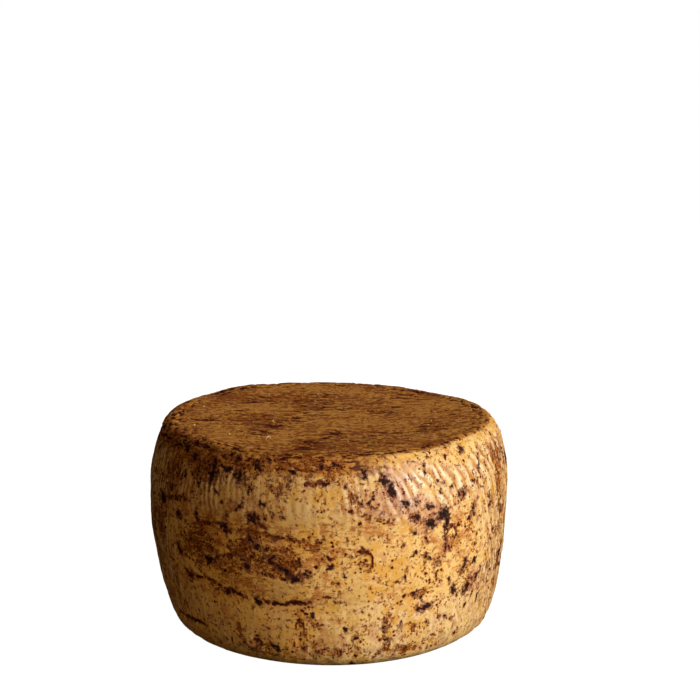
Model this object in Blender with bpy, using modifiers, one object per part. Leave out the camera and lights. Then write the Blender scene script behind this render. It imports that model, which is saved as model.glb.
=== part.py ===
"""A whole aged cheese wheel: one pressed drum of cheese inside its natural rind.

Metres, +Z up. The origin is the middle of the wheel's box, at the level it stands on,
and the wheel's front looks along -Y. A place on the wheel is given by its turn, the
angle from the front towards +X, and by its height above the base.
"""
import math

import bpy
import numpy as np
from mathutils import Vector
from mathutils.geometry import interpolate_bezier

# Driving dimensions of the turned outline
WHEEL_HEIGHT = 0.129
BELLY_RADIUS = 0.110
BELLY_HEIGHT = 0.0845
TOP_FLAT_RADIUS = 0.093
SHOULDER_RADIUS = 0.1038
SHOULDER_HEIGHT = 0.1203
FOOT_RADIUS = 0.1005
FOOT_HEIGHT = 0.0165
BASE_RADIUS = 0.083

# Fineness of the solid
TURN_STEPS = 128
TOP_RINGS = 6
SHOULDER_STEPS = 7
UPPER_SIDE_STEPS = 8
LOWER_SIDE_STEPS = 14
FOOT_STEPS = 6
MERGE_DISTANCE = 0.00001

# The foot sits a little to the right of the belly, as the wheel settled on its shelf
FOOT_SHIFT = 0.0022
FOOT_SHIFT_HEIGHT = 0.080

# Waves round the wheel: (waves in one turn, size in metres, turn of the first crest in degrees)
OUT_OF_ROUND = [(2, 0.0006, 35), (3, 0.0004, -20), (5, 0.0003, 12)]
RIM_WAVES = [(2, 0.0005, 60), (3, 0.0004, -35), (7, 0.0003, 8), (11, 0.0002, 20)]

# The top is dished inside a low lip
TOP_DISH = 0.0012
LIP_RADIUS = 0.0965
LIP_WIDTH = 0.0045
LIP_HEIGHT = 0.0008

# Folds that the cheesecloth pressed into the side, deepest at one turn and again on the far side
FAINTEST_FOLD = 0.25
CLOTH_FOLDS = [
    {"height": 0.0830, "depth": 0.0011, "width": 0.0060, "deepest": -25,
     "waves": [(1, 0.0050, -80), (2, 0.0035, 35), (4, 0.0015, -10)]},
    {"height": 0.0450, "depth": 0.0009, "width": 0.0055, "deepest": -15,
     "waves": [(1, 0.0035, -110), (3, 0.0025, -70), (5, 0.0012, 30)]},
]

# Soft hollows and swellings: (turn in degrees, height, reach, depth, less than nothing for a swelling)
DENTS = [
    (-88, 0.119, 0.013, 0.0012),
    (-62, 0.100, 0.020, 0.0009),
    (30, 0.064, 0.024, 0.0008),
    (-8, 0.064, 0.020, -0.0007),
    (60, 0.034, 0.020, 0.0006),
    (86, 0.068, 0.022, 0.0009),
    (88, 0.119, 0.011, -0.0009),
    (104, 0.092, 0.026, 0.0010),
    (142, 0.050, 0.022, -0.0008),
    (176, 0.086, 0.024, 0.0010),
    (-146, 0.056, 0.026, 0.0009),
    (-108, 0.034, 0.020, -0.0007),
    (-96, 0.088, 0.022, 0.0006),
]

RIND_COLOUR = (0.62, 0.33, 0.11, 1.0)
RIND_ROUGHNESS = 0.5


def clear_scene():
    """Remove whatever the open file holds."""
    for thing in list(bpy.data.objects):
        bpy.data.objects.remove(thing, do_unlink=True)


def curve_between(start, leave, arrive, end, steps):
    """Points of a Bezier stretch given as (radius, height) knots and handles, without its start."""
    knots = [Vector((radius, 0.0, height)) for radius, height in (start, leave, arrive, end)]
    return interpolate_bezier(*knots, steps + 1)[1:]


def wheel_outline():
    """Half the wheel's section, from the middle of the top down its outer side to the base."""
    top_edge = (TOP_FLAT_RADIUS, WHEEL_HEIGHT)
    shoulder = (SHOULDER_RADIUS, SHOULDER_HEIGHT)
    belly = (BELLY_RADIUS, BELLY_HEIGHT)
    foot = (FOOT_RADIUS, FOOT_HEIGHT)
    base_edge = (BASE_RADIUS, 0.0)
    radii = [TOP_FLAT_RADIUS * math.sin(math.pi / 2 * ring / TOP_RINGS) for ring in range(TOP_RINGS + 1)]
    points = [Vector((radius, 0.0, WHEEL_HEIGHT)) for radius in radii]
    points += curve_between(top_edge, (0.1010, WHEEL_HEIGHT), (0.1023, 0.1250), shoulder, SHOULDER_STEPS)
    points += curve_between(shoulder, (0.1072, 0.1128), (BELLY_RADIUS, 0.1000), belly, UPPER_SIDE_STEPS)
    points += curve_between(belly, (BELLY_RADIUS, 0.0547), (0.1035, 0.0280), foot, LOWER_SIDE_STEPS)
    points += curve_between(foot, (0.0975, 0.0060), (0.0915, 0.0), base_edge, FOOT_STEPS)
    points.append(Vector((0.0, 0.0, 0.0)))
    return points


def turned_wheel(collection):
    """Spin the outline round the Z axis into one closed mesh."""
    points = wheel_outline()
    mesh = bpy.data.meshes.new("cheese_wheel_outline")
    mesh.from_pydata(points, [(step, step + 1) for step in range(len(points) - 1)], [])
    outline = bpy.data.objects.new("cheese_wheel_outline", mesh)
    collection.objects.link(outline)
    screw = outline.modifiers.new("turn", "SCREW")
    screw.axis = "Z"
    screw.angle = math.tau
    screw.steps = TURN_STEPS
    screw.render_steps = TURN_STEPS
    screw.use_merge_vertices = True
    screw.merge_threshold = MERGE_DISTANCE
    bpy.context.view_layer.update()
    evaluated = outline.evaluated_get(bpy.context.evaluated_depsgraph_get())
    turned = bpy.data.meshes.new_from_object(evaluated)
    turned.name = "cheese_wheel"
    bpy.data.objects.remove(outline, do_unlink=True)
    bpy.data.meshes.remove(mesh)
    return turned


def waves_at(waves, turn):
    """Height of a sum of waves that close on themselves after one turn of the wheel."""
    return sum(size * np.cos(count * (turn - math.radians(crest))) for count, size, crest in waves)


def hump(distance, width):
    """A bell-shaped hump, 1 at its middle."""
    return np.exp(-(distance / width) ** 2)


def ease(value, low, high):
    """0 below low, 1 above high, and a smooth step between."""
    part = np.clip((value - low) / (high - low), 0.0, 1.0)
    return part * part * (3.0 - 2.0 * part)


def shorter_way_round(turn, middle_degrees):
    """Angle from a turn to the middle of a mark, between minus and plus half a turn."""
    return (turn - math.radians(middle_degrees) + math.pi) % math.tau - math.pi


def side_relief(turn, height):
    """How far the side stands out from the turned outline."""
    on_side = ease(height, 0.004, FOOT_HEIGHT) * (1.0 - ease(height, SHOULDER_HEIGHT, WHEEL_HEIGHT))
    relief = np.zeros_like(turn)
    for fold in CLOTH_FOLDS:
        middle = fold["height"] + waves_at(fold["waves"], turn)
        strength = FAINTEST_FOLD + (1.0 - FAINTEST_FOLD) * np.cos(turn - math.radians(fold["deepest"])) ** 2
        relief -= fold["depth"] * strength * hump(height - middle, fold["width"])
        relief += 0.5 * fold["depth"] * strength * hump(height - middle - 1.6 * fold["width"], fold["width"])
    for middle, dent_height, reach, depth in DENTS:
        along = BELLY_RADIUS * shorter_way_round(turn, middle)
        relief -= depth * hump(np.hypot(along, height - dent_height), reach)
    return relief * on_side + waves_at(OUT_OF_ROUND, turn)


def top_relief(turn, radius, height):
    """How far the top stands above the turned outline: dish, lip and uneven rim."""
    near_top = ease(height, SHOULDER_HEIGHT, WHEEL_HEIGHT)
    dish = -TOP_DISH * (1.0 - ease(radius, 0.35 * TOP_FLAT_RADIUS, TOP_FLAT_RADIUS))
    lip = LIP_HEIGHT * hump(radius - LIP_RADIUS, LIP_WIDTH) - LIP_HEIGHT
    rim = waves_at(RIM_WAVES, turn) * ease(radius, 0.5 * TOP_FLAT_RADIUS, LIP_RADIUS)
    return near_top * (dish + lip + rim)


def press_relief(mesh):
    """Move the turned wheel's points so that it is as uneven as a real cloth-pressed wheel."""
    places = np.empty(len(mesh.vertices) * 3)
    mesh.vertices.foreach_get("co", places)
    places = places.reshape(-1, 3)
    radius = np.hypot(places[:, 0], places[:, 1])
    turn = np.arctan2(places[:, 0], -places[:, 1])
    height = places[:, 2].copy()
    out = side_relief(turn, height) * radius / BELLY_RADIUS
    sideways = FOOT_SHIFT * (1.0 - np.clip(height / FOOT_SHIFT_HEIGHT, 0.0, 1.0)) ** 2
    places[:, 0] = (radius + out) * np.sin(turn) + sideways
    places[:, 1] = -(radius + out) * np.cos(turn)
    places[:, 2] = height + top_relief(turn, radius, height)
    middle = (places.min(axis=0) + places.max(axis=0)) / 2
    places[:, :2] -= middle[:2]
    mesh.vertices.foreach_set("co", places.ravel())
    mesh.update()


def rind_material():
    """Dry golden rind, with the low gloss of an oiled surface."""
    material = bpy.data.materials.new("rind")
    material.use_nodes = True
    shader = material.node_tree.nodes["Principled BSDF"]
    shader.inputs["Base Color"].default_value = RIND_COLOUR
    shader.inputs["Roughness"].default_value = RIND_ROUGHNESS
    shader.inputs["Metallic"].default_value = 0.0
    material.diffuse_color = RIND_COLOUR
    return material


def build():
    clear_scene()
    collection = bpy.data.collections.new("cheese_wheel")
    bpy.context.scene.collection.children.link(collection)
    mesh = turned_wheel(collection)
    press_relief(mesh)
    mesh.shade_smooth()
    mesh.materials.append(rind_material())
    wheel = bpy.data.objects.new("cheese_wheel", mesh)
    collection.objects.link(wheel)


build()
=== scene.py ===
# %% [markdown]
# # The finish of a whole aged cheese wheel
# The wheel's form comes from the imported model: a pressed drum about 22 cm across. This
# lesson turns that plain solid into a dry golden rind, with the ridges of the basket it was
# pressed in, cloth folds, wrinkles at the rim, brown stains, mould and pin-head specks.
# Everything is in metres, +Z up, and the front of the wheel looks along -Y. A place on the
# side is given by its turn, in degrees from the front towards +X, and its height.

import math

import bpy
import numpy as np
from mathutils import Euler, Matrix, Vector, noise
from mathutils.geometry import interpolate_bezier


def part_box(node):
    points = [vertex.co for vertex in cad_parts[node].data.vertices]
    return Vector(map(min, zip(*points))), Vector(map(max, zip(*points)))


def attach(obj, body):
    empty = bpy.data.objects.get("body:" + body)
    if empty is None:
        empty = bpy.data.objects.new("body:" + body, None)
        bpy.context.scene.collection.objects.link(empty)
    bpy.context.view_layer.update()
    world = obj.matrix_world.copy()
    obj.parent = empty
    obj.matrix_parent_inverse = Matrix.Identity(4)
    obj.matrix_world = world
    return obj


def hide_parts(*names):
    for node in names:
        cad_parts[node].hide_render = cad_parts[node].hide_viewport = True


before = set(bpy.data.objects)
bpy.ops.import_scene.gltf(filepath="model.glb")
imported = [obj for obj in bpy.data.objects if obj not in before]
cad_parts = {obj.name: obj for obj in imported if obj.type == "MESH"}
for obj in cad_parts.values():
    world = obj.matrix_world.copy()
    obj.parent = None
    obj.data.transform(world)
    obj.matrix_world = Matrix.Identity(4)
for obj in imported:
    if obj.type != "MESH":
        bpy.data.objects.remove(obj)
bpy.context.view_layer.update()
wheel_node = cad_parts["cheese_wheel"]
low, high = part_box("cheese_wheel")
WHEEL_RADIUS = (high.x - low.x) / 2
WHEEL_HEIGHT = high.z - low.z
print("wheel radius", round(WHEEL_RADIUS, 4), "height", round(WHEEL_HEIGHT, 4))

# %% [markdown]
# ## Camera
# The wheel was seen from a little above its top, from about a metre away with a long lens,
# so that the top is a thin ellipse. The lens is worked out from the angle that the wheel
# fills, and the camera stands slightly to the right of the wheel's middle.

# %% Place the camera
FRAME_PIXELS = 700
FOCAL_PIXELS = 1850
SENSOR_WIDTH = 36.0
CAMERA_PLACE = (0.0129, -1.1, 0.3868)
CAMERA_PITCH = 11.19

bpy.ops.object.camera_add(location=CAMERA_PLACE, rotation=(math.radians(90 - CAMERA_PITCH), 0, 0))
camera = bpy.context.object
camera.name = "studio_camera"
camera.data.sensor_width = SENSOR_WIDTH
camera.data.lens = SENSOR_WIDTH * FOCAL_PIXELS / FRAME_PIXELS
bpy.context.scene.camera = camera
bpy.context.scene.view_settings.view_transform = "Standard"
print("lens", round(camera.data.lens, 1), "mm")

# %% [markdown]
# ## Floor and light
# A pale floor runs far out under a white world, so the wheel stands alone. One wide
# soft lamp from the right, barely above the wheel, rakes across the rind and lets the left
# side fall into shade. A weak lamp fills that shade, and one behind the wheel keeps the
# back readable. The floor throws no light back, which keeps the shade deep: a dim panel
# that lies in front of the foot gives back the little that is seen there.

# %% Floor, world and lamps
FLOOR_SIZE = 60.0
FLOOR_DROP = 0.0002
FLOOR_COLOUR = (0.14, 0.14, 0.14, 1.0)
FLOOR_ROUGHNESS = 0.9
WHITE = (1.0, 1.0, 1.0, 1.0)
LAMP_SPREAD = 130
LAMP_TARGET = Vector((0.0, 0.0, 0.065))
BOUNCE_PLACE, BOUNCE_SIZE = (0.035, -0.165, 0.001), (0.32, 0.11)
BOUNCE_POWER, BOUNCE_COLOUR = 0.036, (1.0, 0.86, 0.66)

bpy.ops.mesh.primitive_plane_add(size=FLOOR_SIZE, location=(0, 0, -FLOOR_DROP))
floor = bpy.context.object
floor.name = "studio_floor"
floor.visible_diffuse = False
floor.visible_glossy = False
floor_finish = bpy.data.materials.new("studio_floor")
floor_finish.use_nodes = True
floor_shader = floor_finish.node_tree.nodes["Principled BSDF"]
floor_shader.inputs["Base Color"].default_value = FLOOR_COLOUR
floor_shader.inputs["Roughness"].default_value = FLOOR_ROUGHNESS
floor_shader.inputs["Emission Color"].default_value = WHITE
floor_shader.inputs["Emission Strength"].default_value = 1.0
floor.data.materials.append(floor_finish)

world = bpy.data.worlds.new("studio_world")
world.use_nodes = True
world.node_tree.nodes["Background"].inputs["Color"].default_value = WHITE
world.cycles_visibility.diffuse = False
world.cycles_visibility.glossy = False
bpy.context.scene.world = world


def add_lamp(name, turn, elevation, distance, size, power, colour, glossy=True):
    """A square soft lamp at a turn and elevation round the wheel, aimed at its middle."""
    turned, lifted = math.radians(turn), math.radians(elevation)
    level, lift = distance * math.cos(lifted), distance * math.sin(lifted)
    place = LAMP_TARGET + Vector((level * math.sin(turned), -level * math.cos(turned), lift))
    bpy.ops.object.light_add(type="AREA", location=place)
    lamp = bpy.context.object
    lamp.name = name
    lamp.data.shape = "SQUARE"
    lamp.data.size = size
    lamp.data.energy = power
    lamp.data.color = colour
    lamp.data.spread = math.radians(LAMP_SPREAD)
    lamp.rotation_euler = (LAMP_TARGET - place).to_track_quat("-Z", "Y").to_euler()
    lamp.visible_glossy = glossy


add_lamp("key_lamp", turn=58, elevation=18, distance=1.6, size=0.85, power=16.6, colour=(1.0, 0.965, 0.90))
add_lamp("fill_lamp", turn=-38, elevation=6, distance=2.2, size=1.6, power=5.3, colour=(1.0, 0.76, 0.43))
add_lamp("back_lamp", turn=176, elevation=20, distance=1.8, size=0.9, power=13, colour=(1.0, 0.98, 0.95),
         glossy=False)
bpy.ops.object.light_add(type="AREA", location=BOUNCE_PLACE, rotation=(math.pi, 0, 0))
bounce = bpy.context.object
bounce.name = "floor_bounce"
bounce.data.shape = "RECTANGLE"
bounce.data.size, bounce.data.size_y = BOUNCE_SIZE
bounce.data.energy = BOUNCE_POWER
bounce.data.color = BOUNCE_COLOUR
bounce.visible_camera = False
bounce.visible_glossy = False


# %% [markdown]
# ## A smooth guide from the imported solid
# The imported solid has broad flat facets. A copy of it is merged, its triangles are joined
# into the squares they came from, and a Subdivision Surface rounds it. The copy is only a
# guide: the visible wheel is drawn afresh with finer squares and laid onto it, so it
# follows the form of the solid closely.

# %% Make the guide
MERGE_DISTANCE = 0.00001
GUIDE_LEVELS = 2


def only(thing):
    """Deselect everything, then select and activate one object."""
    bpy.ops.object.select_all(action="DESELECT")
    thing.select_set(True)
    bpy.context.view_layer.objects.active = thing


def edit_mesh(action="SELECT"):
    """Go into edit mode with everything selected, or nothing."""
    bpy.ops.object.mode_set(mode="EDIT")
    bpy.ops.mesh.select_all(action=action)


def close_mesh(outward=True):
    """Leave edit mode, with all faces turned outward first unless that is switched off."""
    if outward:
        bpy.ops.mesh.select_all(action="SELECT")
        bpy.ops.mesh.normals_make_consistent(inside=False)
    bpy.ops.object.mode_set(mode="OBJECT")


def apply_modifier(thing, name, kind, **settings):
    """Give the active object a modifier with its settings, and apply it."""
    modifier = thing.modifiers.new(name, kind)
    for setting, value in settings.items():
        setattr(modifier, setting, value)
    bpy.ops.object.modifier_apply(modifier=modifier.name)


guide = bpy.data.objects.new("form_guide", wheel_node.data.copy())
bpy.context.scene.collection.objects.link(guide)
only(guide)
edit_mesh()
bpy.ops.mesh.remove_doubles(threshold=MERGE_DISTANCE)
bpy.ops.mesh.tris_convert_to_quads(face_threshold=math.pi, shape_threshold=math.pi)
close_mesh(outward=False)
print("guide faces", len(guide.data.polygons), "of them squares",
      sum(len(face.vertices) == 4 for face in guide.data.polygons))
apply_modifier(guide, "rounding", "SUBSURF", levels=GUIDE_LEVELS, render_levels=GUIDE_LEVELS)

# %% [markdown]
# ## Draw half the outline and turn it
# A wheel of cheese is a turned form. One point is extruded along half its outline, from
# the edge of a disc in the top, over the shoulder, down the side and round the foot to the
# middle of the base. Mesh spin could turn it, but with this many steps it takes long, so a
# Screw modifier turns it instead. Both give even columns of squares, narrow enough to carry
# the ridges of the basket. At the middle of the top the columns would crowd together, so
# that disc stays open and is closed by a grid fill.

# %% Turn the wheel
COLUMNS = 640
TOP_DISC_RADIUS = 0.085
TOP_EDGE_RADIUS = 0.845 * WHEEL_RADIUS
SHOULDER = (0.944 * WHEEL_RADIUS, 0.933 * WHEEL_HEIGHT)
BELLY = (WHEEL_RADIUS, 0.655 * WHEEL_HEIGHT)
FOOT = (0.914 * WHEEL_RADIUS, 0.128 * WHEEL_HEIGHT)
BASE_RADIUS = 0.755 * WHEEL_RADIUS
BASE_RINGS = 3


def stretch(start, leave, arrive, end, steps):
    """Points of a curved stretch of the outline, given as (radius, height), without its start."""
    knots = [Vector((radius, 0.0, height)) for radius, height in (start, leave, arrive, end)]
    return interpolate_bezier(*knots, steps + 1)[1:]


top_edge = (TOP_EDGE_RADIUS, WHEEL_HEIGHT)
base_edge = (BASE_RADIUS, 0.0)
outline = [Vector((TOP_DISC_RADIUS, 0.0, WHEEL_HEIGHT))]
outline += stretch((TOP_DISC_RADIUS, WHEEL_HEIGHT), (0.088, WHEEL_HEIGHT), (0.091, WHEEL_HEIGHT), top_edge, 8)
outline += stretch(top_edge, (0.1010, WHEEL_HEIGHT), (0.1023, 0.1257), SHOULDER, 13)
outline += stretch(SHOULDER, (0.1072, 0.1135), (WHEEL_RADIUS, 0.1005), BELLY, 24)
outline += stretch(BELLY, (WHEEL_RADIUS, 0.0550), (0.1035, 0.0282), FOOT, 46)
outline += stretch(FOOT, (0.0975, 0.0060), (0.0915, 0.0), base_edge, 17)
outline += [Vector((BASE_RADIUS * (1 - ring / BASE_RINGS), 0.0, 0.0)) for ring in range(1, BASE_RINGS + 1)]

bpy.ops.object.select_all(action="DESELECT")
bpy.ops.mesh.primitive_plane_add(size=0.001, location=outline[0])
rind = bpy.context.object
rind.name = "cheese_rind"
bpy.ops.object.transform_apply(location=True, rotation=False, scale=False)
edit_mesh()
bpy.ops.mesh.merge(type="CENTER")
for here, there in zip(outline, outline[1:]):
    bpy.ops.mesh.extrude_region_move(TRANSFORM_OT_translate={"value": there - here})
close_mesh(outward=False)
apply_modifier(rind, "turning", "SCREW", axis="Z", steps=COLUMNS, render_steps=COLUMNS,
               use_merge_vertices=True, merge_threshold=MERGE_DISTANCE)
edit_mesh("DESELECT")
bpy.ops.mesh.select_mode(type="VERT")
bpy.ops.mesh.select_non_manifold(extend=False)
bpy.ops.mesh.fill_grid(span=COLUMNS // 4)
close_mesh()
apply_modifier(rind, "fit_to_guide", "SHRINKWRAP", target=guide, wrap_method="NEAREST_SURFACEPOINT")
bpy.data.objects.remove(guide, do_unlink=True)


def count_triangles(thing):
    """Triangles of a piece, with every face split."""
    return sum(len(face.vertices) - 2 for face in thing.data.polygons)


print("rind points", len(rind.data.vertices), "triangles", count_triangles(rind))

# %% [markdown]
# ## Where each point lies
# The relief and the stains are worked out point by point, as a sculptor would press and
# scrape them in. Every point gets its turn, its height, its distance along the unrolled
# side, and three shares that say how much it belongs to the side, the top or the base.

# %% Measure the points
MM = 0.001


def ease(value, start, stop):
    """0 before start, 1 after stop, and a smooth step between."""
    part = np.clip((value - start) / (stop - start), 0.0, 1.0)
    return part * part * (3.0 - 2.0 * part)


def hump(distance, width):
    """A bell-shaped hump, 1 at its middle."""
    return np.exp(-(distance / width) ** 2)


def read_points(mesh, what):
    """A column of three numbers for each point of the mesh: co or normal."""
    values = np.empty(len(mesh.vertices) * 3)
    mesh.vertices.foreach_get(what, values)
    return values.reshape(-1, 3)


places = read_points(rind.data, "co")
normals = read_points(rind.data, "normal")
turn = np.arctan2(places[:, 0], -places[:, 1])
height = places[:, 2]
reach = np.hypot(places[:, 0], places[:, 1])
along = turn * WHEEL_RADIUS
side_share = ease(np.hypot(normals[:, 0], normals[:, 1]), 0.35, 0.85)
top_share = ease(normals[:, 2], 0.75, 0.97)
base_share = ease(-normals[:, 2], 0.90, 0.995)
print("points on the side", int((side_share > 0.5).sum()), "on the top", int((top_share > 0.5).sum()))

# %% [markdown]
# ## Noise that closes round the wheel
# Blender's noise is read at each point. To stretch a pattern along the side without a seam
# at the back, the noise is read on a smaller copy of the wheel: it stays a closed ring, and
# its waves come out longer round the wheel than they are high.

# %% Noise helpers


def fractal(columns, seed, detail=3):
    """Fractal noise, about -1 to 1, at points given by three columns of numbers."""
    offset = (seed * 7.31, seed * 3.77, seed * 5.13)
    points = (np.stack(columns, axis=1) + offset).tolist()
    return np.array([noise.fractal(point, 0.9, 2.0, detail) for point in points])


def lumps(pitch, seed, detail=3):
    """Noise with round waves of one pitch in millimetres, the same in every direction."""
    return fractal([column / (pitch * MM) for column in places.T], seed, detail)


def bands(long_pitch, high_pitch, seed, detail=3, level=None):
    """Noise on the side with waves long_pitch wide round the wheel and high_pitch high, in millimetres."""
    ring = WHEEL_RADIUS / (long_pitch * MM)
    level = height if level is None else level
    return fractal((ring * np.sin(turn), ring * np.cos(turn), level / (high_pitch * MM)), seed, detail)


# %% [markdown]
# ## Ridges of the basket
# The wheel was pressed in a ribbed basket, which left close upright ridges round its upper
# and lower side. They stand upright on the left, lean on the right, and fade out here and
# there, most of all at the lower front. Each ridge is a wave round the wheel with a narrow
# valley and a broad crest. A wave count that is a whole number closes the ring.

# %% Press in the ridges
RIDGE_COUNT = 150
RIDGE_CROWDING = 0.50
RIDGE_CROWDED_TURN = -95
RIDGE_DEPTH = 0.54 * MM
PLAIN_TURN, PLAIN_WIDTH = -12, 24
SMOOTH_TURN, SMOOTH_WIDTH = 5, 48
VALLEY_WIDTH = 0.20
UPPER_BAND = (0.088, 0.100, 0.114, 0.124)
LOWER_BAND = (0.004, 0.010, 0.034, 0.047)


def between(value, start, full, fading, end):
    """A band that rises from start to full and falls from fading to end."""
    return ease(value, start, full) * (1.0 - ease(value, fading, end))


def turn_gap(degrees):
    """Angle from a turn to every point, the shorter way round."""
    return (turn - math.radians(degrees) + math.pi) % math.tau - math.pi


def ridges(count, lean, lean_turn, level, seed):
    """Valleys of a ribbed ring, 1 in a valley and 0 on a crest, and how far points lean with it."""
    crowded = turn + RIDGE_CROWDING * np.sin(turn - math.radians(RIDGE_CROWDED_TURN))
    slant = lean * (hump(turn_gap(lean_turn), 0.55) - 0.7 * hump(turn_gap(lean_turn + 150), 0.8))
    shift = slant * (height - level)
    wobble = 0.70 * lumps(20, seed, 2) + 0.16 * lumps(6, seed + 40, 2)
    phase = count * (crowded + shift / WHEEL_RADIUS) / math.tau + wobble
    valley = hump(phase - np.round(phase), VALLEY_WIDTH)
    crest = 0.5 + 0.5 * np.cos(math.tau * (phase - 0.5))
    return valley, crest, shift


upper_valley, upper_crest, upper_shift = ridges(RIDGE_COUNT, 0.46, 35, 0.108, 1)
lower_valley, lower_crest, lower_shift = ridges(RIDGE_COUNT + 22, -0.30, -70, 0.026, 2)
fading = ease(lumps(16, 3, 2), -0.30, 0.25)
full_height = ease(-np.cos(2 * turn) + 0.25 * lumps(30, 6, 2), 0.05, 0.55)
upper_band = between(height + 5 * MM * lumps(24, 4, 2), *UPPER_BAND) * side_share
lower_band = between(height + 5 * MM * lumps(22, 5, 2), *LOWER_BAND) * side_share
ribbed = full_height * between(height, 0.010, 0.030, 0.118, 0.127) * side_share
lower_band = lower_band * (1.0 - ribbed)
upper_band = np.maximum(upper_band, ribbed)
plain = 1.0 - 0.75 * hump(turn - math.radians(PLAIN_TURN), math.radians(PLAIN_WIDTH))
upper_share = upper_band * (0.30 + 0.70 * fading) * plain
lower_share = lower_band * (0.03 + 0.25 * (1.0 - fading)) * plain
valley = upper_share * upper_valley + lower_share * lower_valley
crest = upper_share * upper_crest + lower_share * lower_crest
ridge_relief = RIDGE_DEPTH * (0.45 * crest - 0.75 * valley)
smooth_front = hump(turn_gap(SMOOTH_TURN), math.radians(SMOOTH_WIDTH))
combed = np.maximum(upper_band * (1.0 - 0.5 * smooth_front), lower_band * (1.0 - 0.95 * smooth_front))
leaning = (upper_band * upper_shift + lower_band * lower_shift) / WHEEL_RADIUS
print("ridge pitch", round(math.tau * WHEEL_RADIUS / RIDGE_COUNT / MM, 2), "mm on average")

# %% [markdown]
# ## Strokes, wrinkles and dents
# Between the ribbed bands the cloth dragged the rind into long low strokes. Over the
# shoulder it bunched into wrinkles that run round the rim, sharp and ragged, and across the
# top it left wavy lines that run from side to side. A wrinkle is drawn where a stretched
# noise passes through zero: that makes long branching lines rather than round dents. The
# foot, which carried the weight, gets shallow dents.

# %% Strokes and wrinkles
STROKE_DEPTH = 0.30 * MM
RIM_WRINKLE_DEPTH = 0.85 * MM
TOP_WRINKLE_DEPTH = 0.75 * MM
LUMP_HEIGHT = 0.35 * MM
GRAIN_HEIGHT = 0.10 * MM
FOOT_DENT_DEPTH = 0.60 * MM

middle_band = between(height, 0.036, 0.050, 0.088, 0.100) * side_share * (1.0 - 0.8 * ribbed)
swirl = height + 4 * MM * bands(28, 18, 11, 2)
stroke = bands(20, 3.4, 12, 3, level=swirl)
stroke_line = hump(bands(26, 4.6, 13, 2, level=swirl), 0.10)
stroke_line = stroke_line * ease(lumps(26, 14, 2), -0.05, 0.35)

rim_share = ease(reach, 0.083, 0.092) * between(height, 0.114, 0.121, 0.140, 0.150)
across_rim = reach - height + 1.2 * MM * bands(9, 7, 21, 2, level=reach - height)
rim_noise = bands(15, 2.7, 22, 2, level=across_rim)
rim_line = hump(rim_noise, 0.13)
rim_fine = bands(9, 1.9, 23, 2, level=across_rim)

drift = 5 * MM * fractal((places[:, 0] / 0.040, places[:, 1] / 0.030, height * 0), 31, 2)
across_top = (places[:, 1] + drift) / (4.2 * MM)
top_noise = fractal((places[:, 0] / 0.026, across_top, height * 0), 32, 3)
top_line = hump(top_noise, 0.13) * ease(lumps(30, 33, 2), -0.30, 0.25)

top_inner = top_share * (1.0 - ease(reach, 0.080, 0.093))
wrinkle = np.maximum(rim_share * rim_line, top_inner * top_line)
stroke_relief = middle_band * STROKE_DEPTH * (0.5 * stroke - 0.8 * stroke_line)
rim_relief = rim_share * RIM_WRINKLE_DEPTH * (0.45 * rim_noise + 0.25 * rim_fine - 0.75 * rim_line)
top_relief = top_inner * TOP_WRINKLE_DEPTH * (0.5 * top_noise - 0.8 * top_line)
lump_relief = LUMP_HEIGHT * lumps(17, 41, 3) + GRAIN_HEIGHT * lumps(3.2, 42, 3)
foot_relief = FOOT_DENT_DEPTH * between(height, 0.001, 0.005, 0.014, 0.026) * bands(8, 10, 43, 3)
print("deepest rim wrinkle", round(float(rim_relief.min()) / MM, 2), "mm")
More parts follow.
